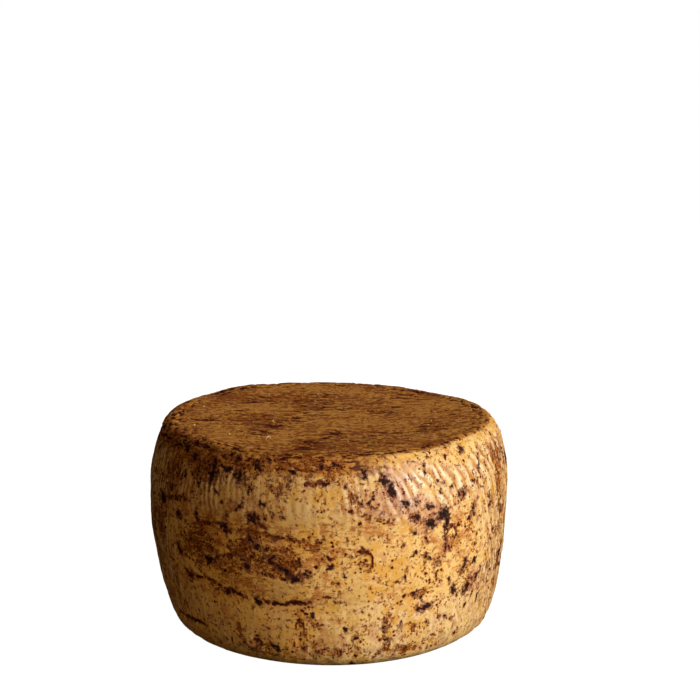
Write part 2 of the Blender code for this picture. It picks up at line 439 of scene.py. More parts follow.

# %% [markdown]
# ## Marks on the rind
# Every wheel carries its own marks: tufts of blue-black mould, brown and orange stains
# where the cheese wept, bruises, creases where the cloth folded, short strokes, and pale
# patches that were rubbed clean. The marks of the front are given one by one. Each is a soft
# oval with a turn and a height, and its soft edge is broken up later by the noise of the
# finish, so that it ends ragged. They are listed by strength, so a row only says where the
# oval is, how large, and how far it is tilted if it is. A crease is a line through a few
# such places, with a width, a depth and a darkness. The rest of the wheel gets its marks by
# seeded chance, in the next step.

# %% Marks of the front by strength: turn in degrees, height, half length, half height in millimetres, tilt
MOULD_SPOTS = {
    1: [
        # the long lens at turn -39.2, height 63.5 is a hollow: its black is partly mould and partly painted
        # shade
        (37, 92, 4, 3.2), (38.5, 86, 1.8, 4.6), (32.5, 86.5, 3.8, 2.4, 25), (-39.2, 63.5, 5.6, 2, -4),
        (5.6, 28, 1.6, 1.4), (9.8, 22.5, 1.3, 1.2), (8.8, 4, 2.4, 1.2),
    ],
    0.95: [
        (24, 100, 2.7, 2.2, -20), (20, 107, 2.4, 2.8), (-62.8, 90.5, 3, 4), (-12.8, 64, 3.4, 2, -10),
        (-9.2, 59.5, 2.8, 2, 10), (-22.2, 42.5, 2.2, 3), (43.8, 43.5, 2.6, 2.8, 10),
        (50.5, 41.5, 3.8, 2.4, 15), (33, 35.8, 3.6, 2, 10), (20, 29, 1.2, 1.2), (-23.5, 17, 2, 1.6),
        (-17.5, 15, 3.6, 1.6, -20), (-38, 113.5, 2.4, 3.4), (43, 76.5, 1.5, 1.1, -40),
        (31.5, 78.5, 1.6, 1.2, 15),
    ],
    0.9: [
        (19, 110, 2, 3, -20), (-1.2, 115, 2.8, 1.1, 5), (3, 125, 1.8, 1.6, -20), (37, 106, 0.9, 1.3),
        (1, 66.5, 3.2, 1.2, 15), (5, 62.5, 1, 0.8), (3.2, 57, 1.2, 0.9), (3.8, 51.5, 1.5, 0.8, 5),
        (3.5, 45, 1.8, 0.8, -10), (-4.2, 36.5, 1.1, 1.6), (-23.8, 107.5, 1.4, 2.6),
        (-10.8, 120, 3, 1.1, -5), (-27.8, 115, 1.2, 3), (-33.8, 118, 4.6, 1.1, -10),
        (38.8, 110, 1, 0.9, -30), (52.2, 105, 0.9, 1.2), (48.5, 85.5, 1.5, 1.2), (50.8, 85, 0.9, 0.8),
        (27.2, 83, 1.3, 0.8, 20), (52.8, 68, 0.9, 1.8), (61.5, 66, 1.1, 1.1), (27.5, 71, 1.6, 1, -20),
        (31.8, 69, 0.9, 1.6), (24.8, 59, 0.9, 3.6, 5), (57, 50, 1.1, 2.6, -20), (53.8, 60, 1.6, 1, 40),
    ],
    0.85: [
        (32, 97, 2.8, 2.6), (17.5, 115, 2.2, 4, -15), (5.5, 111.5, 1.6, 1, -30),
        (41.5, 106.5, 0.9, 1.1, -30), (54, 103, 1.2, 1.2, -30), (61, 89, 3, 1, 30), (-38, 118, 1.8, 6),
        (-33, 85.5, 4.2, 2.4, -10), (-52, 64.5, 3.6, 2, -40), (-49.2, 49, 3.8, 1.8, -38),
        (-43.3, 88.5, 1.6, 3), (-23.2, 80, 2.4, 2.2, -30), (-20.8, 76, 1.8, 2, -40), (-17.8, 75.5, 2.2, 1),
        (-6, 62.5, 2.2, 2.4, 20), (52.5, 56, 2.4, 1.2, 40), (55.5, 46, 2.2, 3.6, -35),
        (27.5, 46, 1.8, 1.6), (44.5, 24.5, 0.9, 1.3), (23.5, 27.5, 1, 2.6, -20), (19.3, 20, 1.8, 1.6),
        (-7.8, 14.5, 1.6, 1.4), (16.5, 9.5, 3.4, 0.9, 20), (-22.5, 121, 2.4, 1.6, -30),
        (-29.5, 115.5, 1.4, 3.4), (-22.2, 92.5, 3.4, 2.4), (-11, 115.5, 1, 1), (-43.8, 113, 1.4, 3.6),
        (-35.8, 105.5, 1.6, 1.1, -20), (-52.5, 85, 3, 2.4, -20), (-31.3, 93, 1.1, 1.8),
        (-18.8, 102.5, 1.5, 1.8), (-17.2, 97, 1, 0.8), (-15.5, 95.3, 1, 0.8), (-13.6, 97.6, 0.8, 0.8),
        (-13, 95, 1.1, 0.9), (-18.4, 94.8, 0.8, 0.8), (41.2, 122, 1, 1.4, -30), (56.2, 111.5, 1, 2.4, -25),
        (44.5, 101, 1.2, 1.8, -35), (63.2, 71.5, 0.8, 2), (33, 66, 1.2, 1.4, 30), (22.5, 56, 2.4, 0.8, 25),
        (54, 36, 0.9, 2.2), (51, 30, 0.9, 2), (58, 32, 0.9, 3.2), (41, 27, 1.6, 1.1),
    ],
    0.8: [
        (27.5, 91.5, 1.6, 3, 20), (11.8, 118.5, 1.4, 3.6, 10), (31.5, 118.5, 1.2, 2.2),
        (60, 93.5, 1.4, 2.2), (50.5, 88, 2, 1.2), (-11.5, 75.5, 3.2, 1), (-15.8, 71, 2.4, 1.4, 40),
        (-16.5, 68.5, 2.6, 1.6, -30), (-25.2, 65.5, 1.6, 4, 30), (-33, 45.5, 2, 2.4), (7.2, 72, 0.8, 1.8),
        (47.5, 56, 1.2, 4, -25), (42, 50.5, 1.2, 1.8), (30, 34.5, 1.6, 1.8), (38.5, 27.5, 1.4, 1.4),
        (-28.5, 16, 1.6, 1.2), (3.5, 14.5, 1.6, 3, 20), (-27.5, 98.5, 2.6, 1.6, 35),
        (-17.2, 111, 1.2, 1.2), (-18.5, 126, 1.6, 0.9), (-53, 124, 4, 1.6, -10),
        (-22.5, 124, 2.4, 1.1, -10), (-30, 122.5, 2.2, 2.2), (-43.5, 106, 1.1, 1.4),
        (-57.7, 101, 1.1, 3.4), (-50.3, 110.5, 1.1, 2.4), (33.8, 124.5, 1.2, 0.9), (35.8, 54.5, 1.4, 1.1),
        (45.5, 38.5, 1.6, 1),
    ],
    0.75: [
        (0.8, 118.5, 1.2, 1), (13.2, 105, 0.9, 2.8, -20), (50, 92, 2, 1.6), (57, 116, 1, 2.6, -25),
        (31, 43, 2, 1.6, -30),
    ],
    0.7: [
        (38, 79, 1, 4), (38.5, 72, 1.2, 4), (27.5, 99.5, 1.8, 2.2), (-4, 115, 1.2, 0.9),
        (49.5, 124.5, 2.8, 2.8), (46.5, 100.5, 2, 3, -30), (-38.5, 108, 1.4, 3), (33.8, 26.5, 1.6, 1.8),
        (-1.8, 31, 1.8, 1.4), (8.3, 20, 1, 2.2, -20), (-2.5, 14.5, 2.8, 1.5), (-47, 120, 3.4, 2.6, 20),
    ],
    0.65: [(36.5, 65, 1.1, 3, 30), (10.5, 103.5, 3.4, 1.2, -35), (37, 48.5, 1.4, 1.2)],
    0.6: [(35, 62, 1.6, 1.2, 20), (-2, 123, 2.4, 1.6), (18, 29, 1, 4.5)],
}

STAINS = {
    0.84: [(-42, 116, 12, 9)],
    0.78: [(-15, 68, 12, 7), (-26, 74, 8, 7, 30)],
    0.72: [(-22, 84.5, 12, 2.4, -4)],
    0.7: [(-50, 120, 10, 6), (-56, 112, 7, 10)],
    0.66: [(-5, 79, 12, 2.6), (-65, 76, 8, 16)],
    0.62: [(-45, 72, 15, 12), (29, 46, 9, 2.8), (-31, 62, 9, 6), (19, 30, 3, 14), (-72, 70, 5, 30)],
    0.6: [
        (-18.5, 114, 2.8, 8), (-60, 104, 8, 8), (-36, 47, 8, 3, -20), (3, 58, 4, 1.3, 8), (68, 100, 5, 20),
    ],
    0.58: [(-27, 117, 8, 7)],
    0.55: [(31, 35, 6, 3), (28, 25, 4, 4), (-2.5, 29, 3, 4), (28, 12, 12, 4), (72, 40, 5, 22)],
    0.52: [(2, 13, 14, 4), (-22, 10, 12, 4)],
    0.5: [
        (10, 24, 5, 3), (50, 44, 8, 5, 20), (1, 122, 12, 3.5), (20, 18, 4, 7), (46, 101, 4, 9, -30),
        (8, 104, 7, 4, -20), (34, 24, 5, 4), (-20, 15, 10, 3), (-14, 112, 9, 9), (-8, 30, 2.5, 12),
        (31, 66, 2, 8), (-58, 40, 5, 16), (-44, 57, 5, 2.5, -30),
    ],
    0.48: [(2, 117, 12, 6)],
    0.45: [(27, 92, 6, 3, -30), (38, 72, 2, 12), (-30, 20, 5, 10), (24, 8, 12, 2.5, 5)],
    0.4: [(19, 108, 4, 9, -25), (16, 98, 5, 4, -30)],
    0.38: [(48, 55, 6, 9)],
    0.35: [(62, 60, 5, 14)],
    0.34: [(33, 91, 5, 4), (52, 88, 5, 12, -15), (44, 118, 12, 5)],
}

BARE_PATCHES = {
    1: [(25, 36.5, 4.8, 5), (7, 61.5, 2.2, 2.2)],
    0.9: [(-13, 55, 11, 7)],
    0.8: [(-8, 98, 13, 11), (38, 110, 12, 6), (46, 115, 8, 6)],
    0.7: [(9, 50, 10, 10), (-45, 56.5, 6, 5, -20)],
    0.6: [(4, 94, 9, 8), (-35, 97, 8, 7), (-14, 31, 8, 7), (14, 80, 9, 6), (40, 30, 5, 6)],
    0.5: [(-24, 32, 7, 6), (16, 100, 4, 6, -20), (28, 68, 9, 8)],
}

BRUISES = {
    1: [(32, 92, 10, 9), (20, 108, 8, 13, -25), (26, 98, 9, 8, -30)],
    0.8: [(54, 45, 8, 9, 20), (38, 70, 2.5, 10)],
    0.7: [(15, 98, 7, 7, -30)],
    0.6: [(33, 36, 7, 3), (27, 121, 9, 3), (3, 123, 6, 3), (-10, 62, 5, 3)],
    0.5: [(52, 90, 6, 12, -20)],
}

CREASES = [
    ([(-65, 90), (-60, 93), (-54, 95.5), (-47, 95.5)], 1.1, 0.6, 0.85),
    ([(-44, 87), (-42, 85.5), (-38, 85.5), (-33.5, 85.5), (-31, 84)], 1.2, 0.6, 0.85),
    ([(-25, 84.5), (-20, 84), (-14, 83.5), (-9, 82), (-4, 81.5), (-1, 83)], 1.5, 0.5, 0.60),
    ([(7, 98.5), (11, 96), (16, 93), (19, 91.5)], 1.1, 0.4, 0.45),
    ([(-52, 51.5), (-46, 50.5), (-41, 51), (-36, 49), (-32, 47.5), (-27, 45.5)], 1.0, 0.6, 0.90),
    ([(-23, 43.5), (-17, 43.3), (-11, 44), (-5, 45.3)], 1.0, 0.5, 0.98),
    ([(-3, 46), (0, 48), (4, 50.5)], 0.8, 0.3, 0.60),
    ([(-64, 20), (-58, 18.5), (-52, 19), (-46, 19.5)], 1.2, 0.9, 0.80),
    ([(12, 9.5), (15, 10), (19, 12.5), (25, 11), (32, 10)], 1.0, 0.5, 0.55),
    ([(6, 108), (11, 103), (15, 100)], 1.1, 0.4, 0.60),
]
STROKE_WIDTH, STROKE_INSET, STROKE_DARKNESS = 1.0, 0.25, 0.92
STROKES = [
    [(39, 83.5), (41.5, 82), (43.5, 80)], [(-19, 75.5), (-17, 75.5), (-14, 75.5), (-11, 76), (-10, 74.5)],
    [(-20, 84.5), (-23.5, 82), (-26, 76.5)],
    [(-24, 79.5), (-23, 74.5), (-22, 70.5), (-25, 65.5), (-27, 63)],
    [(-30.5, 77), (-27, 76.5), (-26, 72.5), (-30, 68.5), (-32, 63.5)],
    [(-17, 68.5), (-15, 64), (-13, 64), (-11, 60.5), (-9, 59.5)], [(-11, 67.5), (-8.5, 70.5), (-8, 68.5)],
    [(-12, 65), (-10, 65), (-7, 62), (-5.5, 64.5)], [(-20, 62.5), (-17.5, 60), (-14, 59), (-9, 58.5)],
    [(-1, 72), (2, 73)], [(-40, 74), (-37, 70), (-35.5, 69.5)], [(-48, 75), (-44.5, 70.5), (-41.5, 67.5)],
    [(-36, 66), (-33, 68), (-30, 70)], [(-24, 89.5), (-22, 92), (-20.5, 90), (-18.5, 88.5)],
    [(-6.5, 113.5), (-2.5, 115.5), (-0.5, 116)],
]
RING_STAIN = {"turn": 10.8, "height": 69.5, "radius": 5.2, "width": 1.0}


def listed(groups):
    """Marks written by strength, each as a row that ends with its tilt and its strength."""
    return [(*mark, 0)[:5] + (strength,) for strength, marks in groups.items() for mark in marks]


front_mould, front_stains = listed(MOULD_SPOTS), listed(STAINS)
front_bare, front_bruises = listed(BARE_PATCHES), listed(BRUISES)
print("hand-placed ovals", len(front_mould + front_stains + front_bare + front_bruises),
      "and lines", len(CREASES + STROKES))

# %% [markdown]
# ## Marks of the sides and back
# The rest of the wheel gets the same kinds of marks, each drawn by seeded chance within set
# limits. Single marks only fall on the part of the ring that the front lists leave free.
# Mould also grows in colonies, and folds and strokes wander.

# %% Draw the other marks
FRONT_HALF_ANGLE = 66
chance = np.random.default_rng(23)
draw = chance.uniform


def drawn_marks(count, heights, lengths, ratios, strengths):
    """Marks like those of the front, spread over the sides and back, most of them small."""
    marks = []
    for _ in range(count):
        place = draw(FRONT_HALF_ANGLE, 360 - FRONT_HALF_ANGLE)
        length = lengths[0] + (lengths[1] - lengths[0]) * draw() ** 2
        marks.append((place, draw(*heights), length, length * draw(*ratios), draw(-30, 30), draw(*strengths)))
    return marks


def drawn_colonies(count, spread):
    """Mould grows in colonies: tufts strewn along a line, the big ones near its middle."""
    tufts = []
    for _ in range(count):
        place, level, tilt = draw(72, 288), draw(22, 112), draw(-70, 20)
        for _ in range(chance.integers(4, 12)):
            step, side = chance.normal(0, spread), chance.normal(0, 0.3 * spread)
            right = step * math.cos(math.radians(tilt)) - side * math.sin(math.radians(tilt))
            up = step * math.sin(math.radians(tilt)) + side * math.cos(math.radians(tilt))
            length = draw(0.9, 1.6) + 2.6 * math.exp(-(step / spread) ** 2) * draw()
            where = place + math.degrees(right * MM / WHEEL_RADIUS), min(max(level + up, 5), 125)
            tufts.append((*where, length, length * draw(0.5, 1.1), draw(-40, 40), draw(0.7, 1.0)))
    return tufts


def drawn_folds(count, levels, steps, stride, bend, depths, darks):
    """Folds and strokes, each a wandering line of a few points round the wheel."""
    folds = []
    for _ in range(count):
        start = draw(FRONT_HALF_ANGLE, 350 - stride * steps - FRONT_HALF_ANGLE)
        level, rise = chance.choice(levels) + draw(-5, 5), draw(-bend, bend)
        points = [(start + stride * step, level + rise * step + draw(-bend, bend) / 2)
                  for step in range(steps)]
        folds.append((points, draw(0.8, 1.2), draw(*depths), draw(*darks)))
    return folds


mould_spots = front_mould + drawn_marks(70, (6, 124), (0.9, 3.2), (0.4, 1.0), (0.65, 0.95))
mould_spots += drawn_colonies(17, 9)
stains = front_stains + drawn_marks(60, (8, 122), (4, 14), (0.4, 1.1), (0.40, 0.62))
stains += drawn_marks(16, (48, 84), (10, 22), (0.25, 0.5), (0.60, 0.80))
bare_patches = front_bare + drawn_marks(34, (14, 116), (4, 12), (0.6, 1.0), (0.5, 0.9))
bruises = front_bruises + drawn_marks(14, (30, 120), (5, 13), (0.5, 1.0), (0.5, 0.9))
creases = CREASES + [(points, STROKE_WIDTH, STROKE_INSET, STROKE_DARKNESS) for points in STROKES]
creases += drawn_folds(16, (88, 84, 49, 45, 20), 5, 6, 2.5, (0.3, 0.7), (0.45, 0.85))
creases += drawn_folds(46, (82, 74, 66, 58), 3, 3, 4.5, (0.1, 0.3), (0.60, 0.90))
print("all ovals", len(mould_spots + stains + bare_patches + bruises), "and lines", len(creases))

# %% [markdown]
# ## Lay the marks on the points
# A mark only darkens the points near it. The points' places are nudged by a fine noise
# first, so an oval comes out as a blot. Where marks meet, the stronger one wins. The ring
# is a single curled stain at the front, where a fold of the cloth turned in on itself.

# %% Lay the marks
NUDGE, FRAY = 1.5, 1.4
OVAL_FALL = 0.7
FAR_AWAY = 1000.0

side_along = along / MM + NUDGE * lumps(3.6, 51, 3) + FRAY * lumps(13, 52, 2)
side_height = height / MM + NUDGE * lumps(3.6, 53, 3) + FRAY * lumps(13, 54, 2)
LOOP = math.tau * WHEEL_RADIUS / MM
RING_SHADE = 0.42


def from_place(degrees):
    """Distance along the side from a turn to every point, the shorter way round."""
    start = math.radians(degrees) * WHEEL_RADIUS / MM
    return (side_along - start + LOOP / 2) % LOOP - LOOP / 2


def lay_marks(marks):
    """The strongest mark at every point of the side, from 0 to 1."""
    laid = np.zeros(len(turn))
    for degrees, level, half_length, half_height, tilt, strength in marks:
        right = from_place(degrees)
        up = side_height - level
        cosine, sine = math.cos(math.radians(tilt)), math.sin(math.radians(tilt))
        lengthwise, crosswise = right * cosine + up * sine, up * cosine - right * sine
        oval = (lengthwise / half_length) ** 2 + (crosswise / half_height) ** 2
        laid = np.maximum(laid, strength * np.exp(-OVAL_FALL * oval))
    return laid * side_share


def lay_creases(folds):
    """How deep and how dark the creases are at every point of the side."""
    deep = np.zeros(len(turn))
    dark = np.zeros(len(turn))
    for points, width, depth, darkness in folds:
        nearest = np.full(len(turn), FAR_AWAY)
        for (turn_a, level_a), (turn_b, level_b) in zip(points, points[1:]):
            right = from_place(turn_a)
            run = math.radians(turn_b - turn_a) * WHEEL_RADIUS / MM
            rise = level_b - level_a
            share = np.clip((right * run + (side_height - level_a) * rise) / (run ** 2 + rise ** 2), 0.0, 1.0)
            nearest = np.minimum(nearest, np.hypot(right - share * run, side_height - level_a - share * rise))
        line = hump(nearest, width)
        deep = np.maximum(deep, depth * line)
        dark = np.maximum(dark, darkness * line)
    return deep * side_share, dark * side_share


mould = lay_marks(mould_spots)
stain = lay_marks(stains)
bare = lay_marks(bare_patches)
bruise = lay_marks(bruises)
crease_depth, crease_dark = lay_creases(creases)
ring_right = from_place(RING_STAIN["turn"])
ring_up = side_height - RING_STAIN["height"]
ring_distance = np.hypot(ring_right, 0.85 * ring_up)
ring_zone = side_share * (np.cos(turn) > 0)
ring_arc = hump(ring_distance - RING_STAIN["radius"], RING_STAIN["width"]) * ring_zone
ring_arc *= ease(ring_right + 0.5 * ring_up, -3.5, 1.5)
stain = np.maximum(stain, RING_SHADE * hump(ring_distance, 1.2 * RING_STAIN["radius"]) * ring_zone)
print("share of the side under mould", round(float((mould > 0.5).mean()), 3))

# %% [markdown]
# ## Move the points
# All the relief is added up and each point moves along its own normal. The base has to
# stay flat, so nothing moves there. The sums of valleys, creases and wrinkles are kept as
# attributes, with the crests, because the finish has to know where they are: it darkens the
# valleys, partly with their own ochre and partly with painted shade, pales the crests with a
# painted highlight, as if light raked across the ridges, and draws dark lines in the creases
# and wrinkles.

# %% Apply the relief and keep the attributes
LEAST_BROWN_SHEEN_TURN = 42
MOULD_RISE = 0.15 * MM
RING_RISE = 0.30 * MM

relief = ridge_relief + stroke_relief + rim_relief + top_relief + foot_relief
relief += lump_relief * (0.4 + 0.6 * side_share)
relief += MOULD_RISE * mould * lumps(1.8, 61, 2) - MM * crease_depth + RING_RISE * ring_arc
relief *= (1.0 - base_share) * ease(height, 0.0, 3 * MM)
relief -= np.clip(places[:, 2] + relief * normals[:, 2] - high.z, 0.0, None)
moved = places + relief[:, None] * normals
moved[:, 2] = np.maximum(moved[:, 2], 0.0)
rind.data.vertices.foreach_set("co", moved.ravel())
rind.data.update()
only(rind)
bpy.ops.object.shade_smooth()

# A field round the wheel with some noise, least at 42 and 222 degrees of turn and most at -48 and 132: the
# finish browns the rind where it is high and lays a painted sheen on the upper band where it is low.
browning_and_sheen = 0.5 - 0.5 * np.cos(2 * (turn - math.radians(LEAST_BROWN_SHEEN_TURN))) + 0.25 * lumps(35, 71, 2)
leaned = turn + leaning
lean_place = np.stack([WHEEL_RADIUS * np.sin(leaned), -WHEEL_RADIUS * np.cos(leaned), height], axis=1)
fields = {
    "mould": mould, "stain": stain, "bare": bare, "bruise": bruise,
    "crease": np.maximum(crease_dark, ring_arc),
    "valley": np.maximum(valley, middle_band * 0.8 * stroke_line),
    "crest": crest, "wrinkle": wrinkle,
    # the rim takes the top's tone and its painted shadow, cut to a quarter from about 30 to 115 degrees of
    # turn, on the right where the key lamp falls
    "rim": rim_share * (1.0 - 0.75 * between(turn, 0.1, 0.5, 2.0, 2.6)),
    "top": top_share, "combed": combed, "band": np.maximum(upper_band, lower_band),
    "middle": middle_band, "browning_and_sheen": np.clip(browning_and_sheen, 0.0, 1.0), "ribbed": ribbed,
}
for name, values in fields.items():
    kept = rind.data.attributes.new(name, "FLOAT", "POINT")
    kept.data.foreach_set("value", values.astype(np.float32))
kept = rind.data.attributes.new("lean_place", "FLOAT_VECTOR", "POINT")
kept.data.foreach_set("vector", lean_place.astype(np.float32).ravel())
print("relief from", round(float(relief.min()) / MM, 2), "to", round(float(relief.max()) / MM, 2), "mm")

# %% [markdown]
# ## A short way to write the finish
# The finish is a sum of many small layers. Written as Python sums it reads like the recipe
# it is: a wire is the output of a node, and adding or multiplying wires makes Math nodes.
# Colours are given as a painter's 0 to 255 values and turned into linear light.

# %% Wires and nodes
HALF_GREY = 0.5


def new_finish(name):
    """A new material, its node tree and its shader."""
    made = bpy.data.materials.new(name)
    made.use_nodes = True
    return made, made.node_tree, made.node_tree.nodes["Principled BSDF"]


finish, tree, shader = new_finish("aged_rind")


class Wire:
    """The output of a node. A sum written with wires makes Math nodes."""

    def __init__(self, socket):
        self.socket = socket

    def __add__(self, other):
        return calculate("ADD", self, other)

    def __sub__(self, other):
        return calculate("SUBTRACT", self, other)

    def __rsub__(self, other):
        return calculate("SUBTRACT", other, self)

    def __mul__(self, other):
        return calculate("MULTIPLY", self, other)

    __radd__, __rmul__ = __add__, __mul__


def add_node(kind, settings=None, inputs=None):
    """A node of any kind, with its settings by name and its inputs by socket name or number."""
    node = tree.nodes.new("ShaderNode" + kind)
    for name, value in (settings or {}).items():
        setattr(node, name, value)
    for name, value in (inputs or {}).items():
        if isinstance(value, Wire):
            tree.links.new(value.socket, node.inputs[name])
        else:
            node.inputs[name].default_value = value
    return node


def feed(sockets):
    """Lead wires to the shader's sockets, given by name."""
    for name, wire in sockets.items():
        tree.links.new(wire.socket, shader.inputs[name])


def calculate(operation, first, second=0.0):
    """One Math node."""
    return Wire(add_node("Math", {"operation": operation}, {0: first, 1: second}).outputs[0])


def most(*wires):
    """The largest of several wires."""
    result = wires[0]
    for wire in wires[1:]:
        result = calculate("MAXIMUM", result, wire)
    return result


def from_middle(wire):
    """How far a noise is from its middle, either way."""
    return calculate("ABSOLUTE", wire - HALF_GREY)


def rise(value, start, stop):
    """0 at start and 1 at stop, with a smooth step between them."""
    inputs = {0: value, 1: start, 2: stop, 3: 0.0, 4: 1.0}
    return Wire(add_node("MapRange", {"interpolation_type": "SMOOTHSTEP"}, inputs).outputs[0])


def tint(red, green, blue):
    """A colour from 0 to 255 values, as linear light."""
    shares = [value / 255 for value in (red, green, blue)]
    linear = [share / 12.92 if share <= 0.04045 else ((share + 0.055) / 1.055) ** 2.4 for share in shares]
    return (*linear, 1.0)


def cover(under, layers):
    """Lay colours over one another, each by its own share from 0 to 1."""
    settings = {"data_type": "RGBA", "clamp_factor": True}
    for over, share in layers:
        under = Wire(add_node("Mix", settings, {0: share, 6: under, 7: over}).outputs[2])
    return under


def vector_sum(operation, first, second):
    """One Vector Math node."""
    return Wire(add_node("VectorMath", {"operation": operation}, {0: first, 1: second}).outputs[0])


def scaled(vector, sides, height=1.0):
    """Coordinates scaled: a pattern read there comes out drawn out where the number is small."""
    return vector_sum("MULTIPLY", vector, (*sides, height))


def grain(vector, pitch, detail=4, rough=0.62, twist=0.0):
    """Noise between 0 and 1 whose waves are about one pitch long, in millimetres."""
    inputs = {"Vector": vector, "Scale": 1.0 / (pitch * MM), "Detail": detail, "Roughness": rough,
              "Distortion": twist}
    return Wire(add_node("TexNoise", None, inputs).outputs[0])


def ragged(vector, pitch, shift):
    """Coordinates nudged by noise, so that round shapes come out ragged; both in millimetres."""
    inputs = {"Vector": vector, "Scale": 1.0 / (pitch * MM), "Detail": 2.0}
    nudge = Wire(add_node("TexNoise", None, inputs).outputs[1])
    centred = vector_sum("SUBTRACT", nudge, (HALF_GREY,) * 3)
    return vector_sum("ADD", vector, vector_sum("MULTIPLY", centred, (2 * shift * MM,) * 3))


def specks(vector, pitch, size, share):
    """Dots on a loose grid, above 1 inside a dot and falling to 0.5 half a dot outside it.

    The size is a dot's part of the pitch, the share tells how many cells hold one.
    """
    dots = add_node("TexVoronoi", None, {"Vector": vector, "Scale": 1.0 / (pitch * MM)})
    chances = add_node("SeparateColor", None, {0: Wire(dots.outputs[1])})
    held = rise(share - Wire(chances.outputs[0]), 0.0, 0.04)
    radius = size * (0.5 + 0.5 * Wire(chances.outputs[1]))
    return held * (1.0 + (1.0 / size) * (radius - Wire(dots.outputs[0])))


def field(name, output="Fac"):
    """One of the attributes kept from the relief."""
    return Wire(add_node("Attribute", {"attribute_name": name}).outputs[output])


# %% [markdown]
# ## The rind's colours, with painted highlight and shade on the ridges
# A washed and oiled rind is a patchwork: cream where it was rubbed, gold and ochre where it
# dried, pinkish where it stayed damp or was bruised. Wide blotches come first, then
# finger-sized patches, then a fine mottle. In the ribbed bands the colours run along the
# ridges, in the middle they run round the wheel like brush strokes. Over the ridges the
# crests are painted pale as a highlight and the valleys darker as shade, and the upper band
# gets a painted sheen round turn 42 degrees. The swings of the common grains about their middle
# are kept under names of their own, since most layers use them to break up an edge.

# %% Colours and grains
CREAM = tint(242, 199, 124)
GOLD = tint(231, 173, 84)
OCHRE = tint(190, 120, 40)
PINK_TAN = tint(226, 158, 102)
MUSTARD = tint(206, 154, 50)
# PALE also carries the painted highlight on the crests and the painted sheen on the upper band
PALE = tint(254, 228, 182)
GROOVE = tint(168, 90, 22)
AMBER = tint(190, 110, 30)
BROWN = tint(124, 52, 8)
RED_BROWN = tint(90, 26, 3)
DARK = tint(54, 10, 2)
MOULD = tint(44, 11, 7)
MOULD_CORE = tint(22, 13, 20)
SOAKED = tint(162, 90, 28)
PLUM = tint(132, 72, 50)
RUBBED = tint(226, 180, 104)
BRUISE = tint(206, 148, 116)
YELLOW = tint(222, 164, 44)
# The top's tan and brown are partly its own rind and partly painted shadow, as if wheels lay stacked on it.
TOP_TAN_AND_SHADOW = tint(202, 138, 62)
TOP_BROWN_AND_SHADOW = tint(134, 66, 18)
EVEN = (1.0, 1.0)

coordinates = Wire(add_node("TexCoord").outputs["Object"])
leaned_place = field("lean_place", "Vector")
upright = scaled(leaned_place, EVEN, 0.14)
sweeping = scaled(ragged(coordinates, 12, 2.4), (0.3, 0.3))
across = scaled(ragged(coordinates, 12, 1.6), (0.24, 1.0))

patch = grain(coordinates, 30, 3, 0.55)
blotch = grain(coordinates, 7.5, 4, 0.6)
chip = grain(coordinates, 3.2)
mottle = grain(coordinates, 1.8)
pores = grain(coordinates, 0.5, 3, 0.6)
streak = grain(upright, 1.9)
drip = grain(upright, 5.0)
hairline = grain(scaled(leaned_place, EVEN, 0.06), 1.5, 3, 0.6)
sweep = grain(sweeping, 1.9, 4, 0.65, 0.4)
crossing = grain(across, 1.6, twist=0.4)
patchy, blotchy, chipped, mottled = [noise_wire - HALF_GREY for noise_wire in (patch, blotch, chip, mottle)]

mould, stain, bare, bruise, crease, valley, crest, wrinkle = [field(name) for name in list(fields)[:8]]
rim, top, combed, band, middle, browning_and_sheen, ribbed = [field(name) for name in list(fields)[8:]]
print("nodes for the grains and fields", len(tree.nodes))

# %% Base colours
fine_groove = grain(coordinates, 1.1, 3, 0.6) + 1.1 * chipped + 0.7 * patchy + 0.05 * browning_and_sheen
long_patch = grain(upright, 6.0, 4, 0.6) + 0.6 * patchy
yellow_patch = rise(grain(coordinates, 9) + 0.3 * mottled, 0.58, 0.68) * (1 - bare)
colour = cover(GOLD, [
    (CREAM, rise(patch + 0.8 * blotchy + 0.5 * chipped - 0.25 * browning_and_sheen, 0.26, 0.42)),
    (PINK_TAN, 0.5 * rise(blotch + 0.4 * mottled, 0.5, 0.6)),
    (OCHRE, (0.16 + 0.44 * browning_and_sheen) * rise(mottle + 1.2 * blotchy + 0.06 * browning_and_sheen, 0.54, 0.7)),
    (MUSTARD, 0.5 * band * rise(long_patch, 0.5, 0.66)),
    (OCHRE, (0.45 + 0.35 * browning_and_sheen) * combed * rise(streak + 0.5 * blotchy, 0.5, 0.66)),
    (PALE, 0.6 * combed * rise(streak, 0.46, 0.32)),
    (GROOVE, 0.75 * middle * rise(sweep + 0.4 * patchy + 0.1 * browning_and_sheen, 0.58, 0.68)),
    (GROOVE, (0.28 + 0.3 * browning_and_sheen) * rise(fine_groove, 0.63, 0.69)),
    (RUBBED, 0.6 * rise(bare + blotchy + 0.5 * chipped, 0.3, 0.7)),
    # painted sheen: the upper band is paled where the browning field is low, round 42 degrees of turn
    (PALE, 0.38 * band * (1 - browning_and_sheen) * rise(blotch + 0.4 * mottled, 0.4, 0.56)),
    # painted highlight: the crests are paled as if the light caught them
    (PALE, 0.8 * crest),
    # the valleys are darkened, partly their own ochre and partly painted shade between the ridges
    (OCHRE, 0.7 * valley),
    (GROOVE, (0.35 + 0.6 * browning_and_sheen) * valley * rise(blotch + mottle, 0.76, 1.0)),
    (YELLOW, 0.5 * yellow_patch),
    (BRUISE, 0.55 * rise(bruise + blotchy + 0.8 * chipped, 0.24, 0.62)),
    # more brown in the valleys, partly the rind's own and partly painted shade
    (BROWN, (0.15 + 0.7 * browning_and_sheen) * valley * rise(streak + 0.7 * blotchy, 0.5, 0.6)),
])
print("nodes with the base colours", len(tree.nodes))

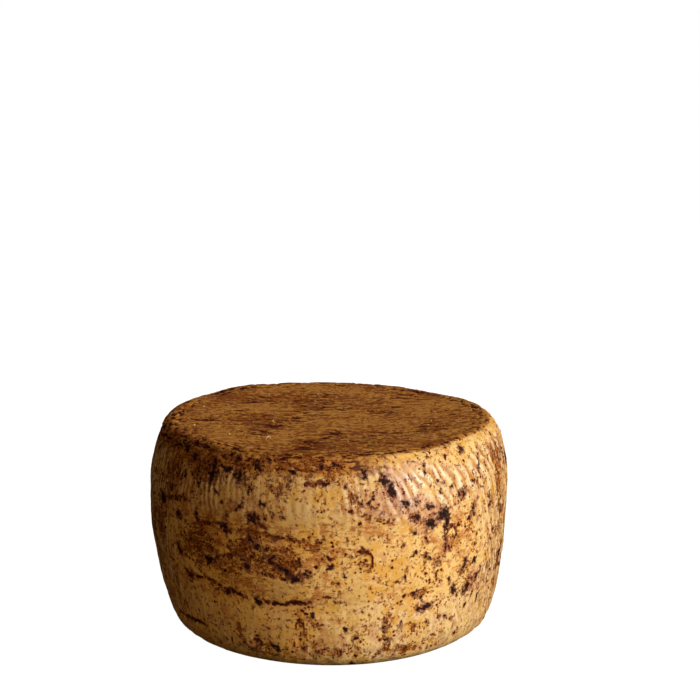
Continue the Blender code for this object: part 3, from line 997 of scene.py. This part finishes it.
# %% [markdown]
# ## Stains, veins, folds and thin swirls
# Stains soak in: a weak one is amber, a strong one brown, and its edge follows the patches
# of the rind. Inside a stain dark veins branch, where a noise passes through its middle.
# Thin brown threads run through the middle band where the cloth's edge lay. The creases are
# dark and broken into beads, with a soaked edge.

# %% Stains
marble = grain(ragged(sweeping, 8, 2.6), 3.4, twist=1.6)
soaked = 0.72 * stain + 0.5 * blotchy + 1.1 * mottled + 1.2 * middle * (sweep - HALF_GREY)
soaked = soaked + 2.2 * middle * (marble - HALF_GREY)
soaked = soaked + band * (1.4 * (streak - HALF_GREY) + 1.3 * (drip - HALF_GREY))
loose_stain = rise(patch + 0.9 * blotchy + 0.6 * chipped, 0.53, 0.7)
drip_stain = band * rise(drip + 0.5 * mottled + 0.3 * patchy, 0.54, 0.68)
vein = from_middle(grain(ragged(scaled(coordinates, (0.55, 0.55)), 5, 2.4), 3.6, twist=0.8))
vein_share = rise(stain + 0.9 * blotchy + 0.9 * chipped, 0.34, 0.44)
vein_line = rise(vein + 0.12 * mottled, 0.036, 0.02) * vein_share
thread = from_middle(grain(ragged(sweeping, 7, 2.0), 5.5, 3, 0.5, 1.6))
thread_line = middle * rise(thread, 0.03, 0.006) * rise(stain + 0.8 * patchy + mottled, 0.16, 0.4)
hair_share = (0.2 * combed + 0.8 * ribbed) * rise(hairline + 0.3 * mottled, 0.56, 0.62)
colour = cover(colour, [
    (AMBER, 0.5 * rise(soaked, 0.36, 0.52) * (1 - 0.6 * bare)),
    (AMBER, (0.2 + 0.4 * browning_and_sheen) * most(loose_stain, drip_stain) * (1 - bare)),
    (SOAKED, 0.6 * rise(soaked, 0.55, 0.64)),
    (BROWN, 0.75 * rise(soaked + 1.2 * chipped, 0.75, 0.79)),
    (RED_BROWN, 0.8 * rise(soaked + 1.4 * mottled, 0.86, 0.92)),
    (RED_BROWN, 0.8 * rise(vein, 0.052, 0.028) * vein_share),
    (DARK, 0.85 * vein_line),
    (BROWN, 0.85 * rise(thread, 0.07, 0.02) * thread_line),
    (DARK, 0.8 * thread_line * rise(chip, 0.42, 0.54)),
    (BROWN, 0.75 * hair_share),
    (SOAKED, 0.7 * rise(crease + 1.6 * chipped, 0.1, 0.36)),
    (RED_BROWN, 0.85 * rise(crease + 2.0 * mottled + 1.6 * chipped, 0.34, 0.44)),
    (DARK, 0.95 * rise(crease + 3.0 * mottled + 1.6 * chipped, 0.44, 0.52)),
])
print("nodes with the stains", len(tree.nodes))

# %% [markdown]
# ## Rim and top, with a painted shadow
# The top is browner and darker than the side: tan with gold patches and dark red-brown
# lines in every wrinkle, darkened further by painted shadow, the shade of wheels stacked on
# it. The same darkness creeps over the rim, less on its right.

# %% Rim and top colours
top_tone_and_shadow = cover(TOP_TAN_AND_SHADOW, [
    (GOLD, 0.45 * rise(blotch + 0.6 * patchy + 0.4 * mottled, 0.46, 0.62)),
    (OCHRE, 0.6 * rise(chip + 0.7 * mottled, 0.48, 0.6)),
    (TOP_BROWN_AND_SHADOW, 0.45 * rise(mottle + 0.8 * (pores - HALF_GREY), 0.54, 0.62)),
    (TOP_BROWN_AND_SHADOW, 0.95 * rise(crossing + 0.8 * chipped + 0.6 * patchy, 0.42, 0.6)),
    (RED_BROWN, rise(wrinkle + mottled, 0.2, 0.6)),
    (DARK, 0.9 * rise(wrinkle + chipped + 0.6 * mottled, 0.45, 0.8)),
])
upper = most(rim, top)
# the top's tone and its painted shadow, laid over the top and the rim
colour = cover(colour, [(top_tone_and_shadow, upper * rise(upper + 1.3 * blotchy + 0.6 * chipped, 0.3, 0.75))])
print("nodes with the top", len(tree.nodes))

# %% [markdown]
# ## Mould and specks
# Mould stands as blue-black tufts in a plum halo. Three sizes of specks cover the rind,
# from pin-heads to grains of pepper, each in an amber halo where its damp spread: drawn out
# along the ridges in the ribbed bands, round in the middle, thicker in some places and
# missing where the rind was rubbed. Between them lie ragged clumps of fine dark grain.

# %% Mould and specks
halo = rise(mould + 1.6 * mottled + 1.2 * chipped, 0.08, 0.3)
tuft = rise(mould + 2.0 * mottled + 1.1 * chipped + 0.7 * (pores - HALF_GREY), 0.46, 0.52)
crowd = rise(grain(coordinates, 12) + 0.3 * stain, 0.49, 0.66) * (1 - 0.9 * bare)
stretched = scaled(ragged(leaned_place, 1.2, 0.25), EVEN, 0.36)
pin_heads = specks(ragged(coordinates, 1.0, 0.35), 1.7, 0.4, 0.01 + 0.44 * crowd)
peppers = specks(ragged(coordinates, 1.1, 0.8), 2.6, 0.4, 0.04 + 0.66 * crowd)
drops = specks(ragged(coordinates, 2.2, 1.5), 6.0, 0.26, 0.06 + 0.7 * crowd)
dashes = band * specks(stretched, 2.1, 0.38, 0.02 + 0.34 * crowd + 0.6 * valley)
nearest_speck = most(pin_heads, peppers, drops, dashes)
speckled = rise(nearest_speck, 0.98, 1.22)

clump_up = grain(scaled(leaned_place, EVEN, 0.42), 3.0, 5, 0.74)
clump_round = grain(scaled(coordinates, (0.55, 0.55)), 2.6, 5, 0.74)
clump = clump_round + band * (clump_up - clump_round)
clump = clump + 0.2 * (grain(coordinates, 12, 2, 0.55) - HALF_GREY) + 0.24 * stain - 0.12 * bare
colour = cover(colour, [
    (AMBER, 0.55 * rise(clump, 0.6, 0.66)),
    (RED_BROWN, 0.8 * rise(clump + 0.3 * mottled, 0.655, 0.672)),
    (DARK, 0.9 * rise(clump + 0.4 * mottled, 0.68, 0.7)),
    (PLUM, 0.7 * halo),
    (AMBER, 0.7 * rise(nearest_speck, 0.45, 1.0)),
    (RED_BROWN, 0.92 * speckled),
    (DARK, 0.9 * rise(most(peppers, drops), 1.1, 1.4)),
    (MOULD, 0.95 * tuft),
    (MOULD_CORE, 0.9 * tuft * rise(mould + 0.6 * mottled, 0.72, 0.86)),
])
print("nodes with mould and specks", len(tree.nodes))

# %% [markdown]
# ## Gloss and fine bumps
# The crests and the ribbed bands were polished by handling and keep a low oily coat. Mould
# is dull, and so is the top. The fine bumps are too small for the mesh: pores, mottle,
# streaks and the specks, which stand up a little.

# %% Finish the rind
REFRACTION, SHINE, COAT_ROUGHNESS = 1.42, 0.2, 0.38
BUMP_STRENGTH, BUMP_DISTANCE = 0.6, 0.45 * MM

gloss = 0.5 + 0.25 * mottled + 0.25 * upper + 0.3 * tuft - 0.1 * crest - 0.06 * bare + 0.1 * speckled
polish = 0.8 * rise(0.8 * crest + 0.35 * band + 0.5 * blotchy - 0.6 * bare - 1.2 * tuft, 0.1, 1.1)
height_map = 0.35 * pores + 0.4 * mottle + combed * 0.5 * streak + middle * 0.5 * sweep
height_map = height_map + 0.8 * upper * crossing - 0.4 * hair_share + 0.2 * speckled
height_map = height_map - 0.3 * most(thread_line, vein_line) + 0.6 * tuft * pores
bump_sockets = {"Strength": BUMP_STRENGTH, "Distance": BUMP_DISTANCE, "Height": height_map}
bump = Wire(add_node("Bump", None, bump_sockets).outputs[0])
feed({"Base Color": colour, "Roughness": gloss, "Coat Weight": polish, "Normal": bump})
shader.inputs["IOR"].default_value = REFRACTION
shader.inputs["Specular IOR Level"].default_value = SHINE
shader.inputs["Coat Roughness"].default_value = COAT_ROUGHNESS
rind.data.materials.clear()
rind.data.materials.append(finish)
print("finish nodes", len(tree.nodes))

# %% [markdown]
# ## Crumbs on the top
# Handling leaves a few pale crumbs of the paste on the top, and one thin curled shaving near
# its front edge. A crumb starts as a small ball, is squashed, loses a broken side to a
# bisect, and has its points shaken. A shaving is one edge spun along a short arc, as it
# curls off a knife, and given a thickness.

# %% Model a crumb and a shaving
CRUMB_RADIUS = 0.55 * MM
CRUMB_SHAPE = (1.25, 0.95, 0.75)
CRUMB_SHAKE = 0.12 * MM
CRUMB_BREAK = 0.4 * CRUMB_RADIUS
BREAK_SLANT = (1.0, 0.3, 0.4)
SHAVING_WIDTH = 0.9 * MM
SHAVING_RADIUS = 1.3 * MM
SHAVING_ARC = 215
SHAVING_STEPS = 12
SHAVING_AXIS = (0, 1, 0.12)
SHAVING_THICKNESS = 0.28 * MM

bpy.ops.object.select_all(action="DESELECT")
bpy.ops.mesh.primitive_ico_sphere_add(subdivisions=2, radius=CRUMB_RADIUS, location=(0, 0, 0))
crumb = bpy.context.object
crumb.name = "crumb_pattern"
edit_mesh()
bpy.ops.transform.resize(value=CRUMB_SHAPE)
bpy.ops.mesh.bisect(plane_co=(CRUMB_BREAK, 0, 0), plane_no=BREAK_SLANT, use_fill=True, clear_outer=True)
bpy.ops.mesh.select_all(action="SELECT")
bpy.ops.transform.vertex_random(offset=CRUMB_SHAKE, seed=4)
close_mesh()

bpy.ops.object.select_all(action="DESELECT")
bpy.ops.mesh.primitive_plane_add(size=SHAVING_WIDTH, location=(SHAVING_RADIUS, 0, 0))
shaving = bpy.context.object
shaving.name = "shaving_pattern"
bpy.ops.object.transform_apply(location=True, rotation=False, scale=False)
edit_mesh("DESELECT")
bpy.ops.mesh.select_mode(type="VERT")
close_mesh(outward=False)
for point in shaving.data.vertices:
    point.select = point.co.x < SHAVING_RADIUS
bpy.ops.object.mode_set(mode="EDIT")
bpy.ops.mesh.delete(type="VERT")
bpy.ops.mesh.select_all(action="SELECT")
bpy.ops.mesh.spin(steps=SHAVING_STEPS, angle=math.radians(SHAVING_ARC), center=(0, 0, 0), axis=SHAVING_AXIS)
close_mesh(outward=False)
apply_modifier(shaving, "thickness", "SOLIDIFY", thickness=SHAVING_THICKNESS)
only(shaving)
edit_mesh()
close_mesh()
print("crumb faces", len(crumb.data.polygons), "shaving faces", len(shaving.data.polygons))

# %% [markdown]
# ## Strew them
# Each crumb is a copy with a mesh of its own, turned and sized by seeded chance and dropped
# onto the rind below it. They are joined into one piece.

# %% Strew the crumbs
CRUMB_COUNT = 22
STREWN_RADIUS = 0.086
CRUMB_SINK, SHAVING_SINK = 0.15 * MM, 0.25 * MM
SMOOTH_ANGLE = 50
SHAVING_PLACE = (-34.7 * MM, -56.9 * MM)
strewn = np.random.default_rng(8)


def surface_height(x, y):
    """Height of the rind under a place on the top."""
    hit, point, _, _ = rind.ray_cast(Vector((x, y, 2 * WHEEL_HEIGHT)), Vector((0, 0, -1)))
    return point.z if hit else WHEEL_HEIGHT


def drop(pattern, x, y, turns, size, sink):
    """A copy of a pattern, turned and sized, lying on the rind at x and y."""
    piece = pattern.copy()
    piece.data = pattern.data.copy()
    bpy.context.scene.collection.objects.link(piece)
    piece.data.transform(Euler(turns).to_matrix().to_4x4() @ Matrix.Diagonal((size, size, size, 1.0)))
    bottom = min(point.co.z for point in piece.data.vertices)
    piece.data.transform(Matrix.Translation((x, y, surface_height(x, y) - bottom - sink)))
    return piece


dropped = [drop(shaving, *SHAVING_PLACE, (0.2, 0.3, 0.9), 1.0, SHAVING_SINK)]
for number in range(CRUMB_COUNT):
    reach_out = STREWN_RADIUS * math.sqrt(strewn.uniform(0.15, 1.0))
    place = strewn.uniform(-1.9, 1.3) if number % 3 else strewn.uniform(-math.pi, math.pi)
    turns = tuple(strewn.uniform(0, math.tau, 3))
    dropped.append(drop(crumb, reach_out * math.sin(place), -reach_out * math.cos(place), turns,
                        strewn.uniform(0.45, 1.1), CRUMB_SINK))
for pattern in (crumb, shaving):
    bpy.data.objects.remove(pattern, do_unlink=True)
only(dropped[0])
for piece in dropped:
    piece.select_set(True)
bpy.ops.object.join()
crumbs = bpy.context.object
crumbs.name = "cheese_crumbs"
bpy.ops.object.shade_smooth_by_angle(angle=math.radians(SMOOTH_ANGLE))

crumb_finish, tree, shader = new_finish("dry_crumb")
crumb_place = Wire(add_node("TexCoord").outputs["Object"])
crumb_tone = cover(tint(236, 214, 168), [
    (tint(206, 164, 104), rise(grain(crumb_place, 1.2, 3, 0.55), 0.40, 0.65)),
])
crumb_sockets = {"Strength": 0.6, "Distance": 0.1 * MM, "Height": grain(crumb_place, 0.3, 3, 0.55)}
crumb_bump = Wire(add_node("Bump", None, crumb_sockets).outputs[0])
crumb_gloss = 0.55 + 0.2 * grain(crumb_place, 0.6, 3, 0.55)
feed({"Base Color": crumb_tone, "Roughness": crumb_gloss, "Normal": crumb_bump})
crumbs.data.materials.clear()
crumbs.data.materials.append(crumb_finish)
print("crumb piece triangles", count_triangles(crumbs))
for piece in (rind, crumbs):
    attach(piece, "root")
    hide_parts("cheese_wheel")
